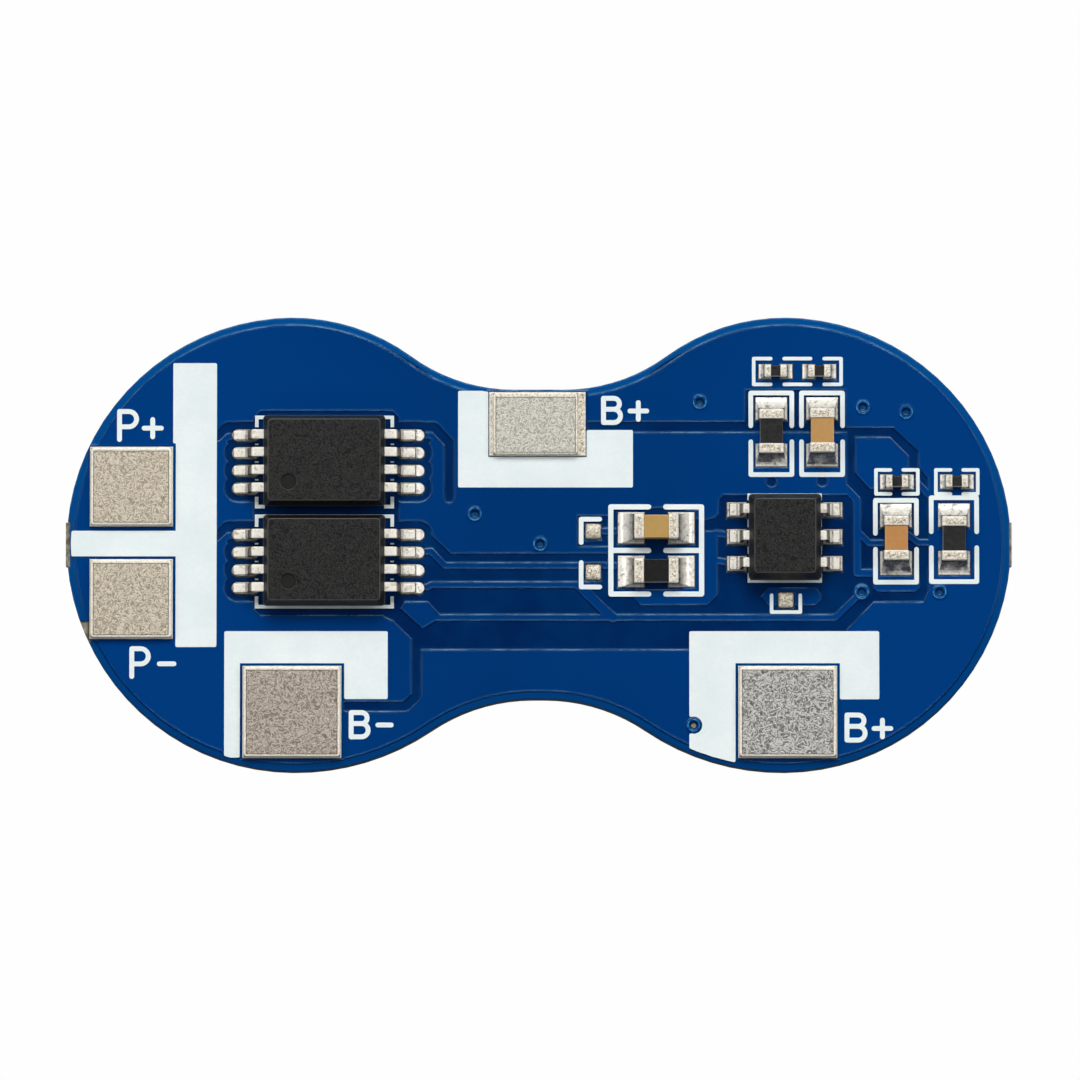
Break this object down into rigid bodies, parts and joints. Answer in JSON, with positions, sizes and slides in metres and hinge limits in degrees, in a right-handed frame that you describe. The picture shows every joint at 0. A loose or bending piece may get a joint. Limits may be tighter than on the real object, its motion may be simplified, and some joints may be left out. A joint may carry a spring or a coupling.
{
  "type": "battery management board",
  "caption": "Bone-shaped circuit board that guards a pair of round cells, with nickel weld tabs, power switches, a protection chip and small chip parts.",
  "frame": {"origin": "middle of the board's underside", "axes": "+X along the board towards the protection chip's end, +Y towards the middle weld tab, +Z out of the side that carries the parts"},
  "size_m": [0.035, 0.0168, 0.0022],
  "materials": {
    "laminate": "glass cloth and epoxy, cut edge",
    "copper": "bare copper, under the mask",
    "solder_mask": "smooth blue solder mask",
    "white_ink": "printed white ink",
    "nickel": "fine-grained dull nickel",
    "solder": "bright reflowed solder",
    "tin_plate": "bright tin plate",
    "black_mould": "satin black moulding compound",
    "capacitor_ceramic": "fired tan ceramic",
    "alumina": "white fired alumina",
    "black_coat": "black glaze",
    "end_metal": "plated metal ends"
  },
  "bodies": {
    "root": {"fr4_core": "laminate", "copper_top": "copper", "copper_bottom": "copper", "mask_top": "solder_mask", "mask_bottom": "solder_mask", "via_barrels": "tin_plate", "legend_fields": "white_ink", "legend_outlines": "white_ink", "tab_p_plus": "nickel", "tab_p_minus": "nickel", "tab_b_minus": "nickel", "tab_b_plus": "nickel", "tab_b_mid": "nickel", "film_p_plus": "solder", "film_p_minus": "solder", "film_b_minus": "solder", "film_b_plus": "solder", "film_b_mid": "solder", "q1_body": "black_mould", "q1_leads": "tin_plate", "q1_solder": "solder", "q2_body": "black_mould", "q2_leads": "tin_plate", "q2_solder": "solder", "u1_body": "black_mould", "u1_leads": "tin_plate", "u1_solder": "solder", "c1_body": "capacitor_ceramic", "c1_ends": "end_metal", "c1_solder": "solder", "c2_body": "capacitor_ceramic", "c2_ends": "end_metal", "c2_solder": "solder", "c3_body": "capacitor_ceramic", "c3_ends": "end_metal", "c3_solder": "solder", "r1_body": "alumina", "r1_coat": "black_coat", "r1_ends": "end_metal", "r1_solder": "solder", "r2_body": "alumina", "r2_coat": "black_coat", "r2_ends": "end_metal", "r2_solder": "solder", "r3_body": "alumina", "r3_coat": "black_coat", "r3_ends": "end_metal", "r3_solder": "solder", "small_bodies": "alumina", "small_coats": "black_coat", "small_ends": "end_metal", "small_solder": "solder", "spare_solder": "solder"}
  },
  "joints": []
}
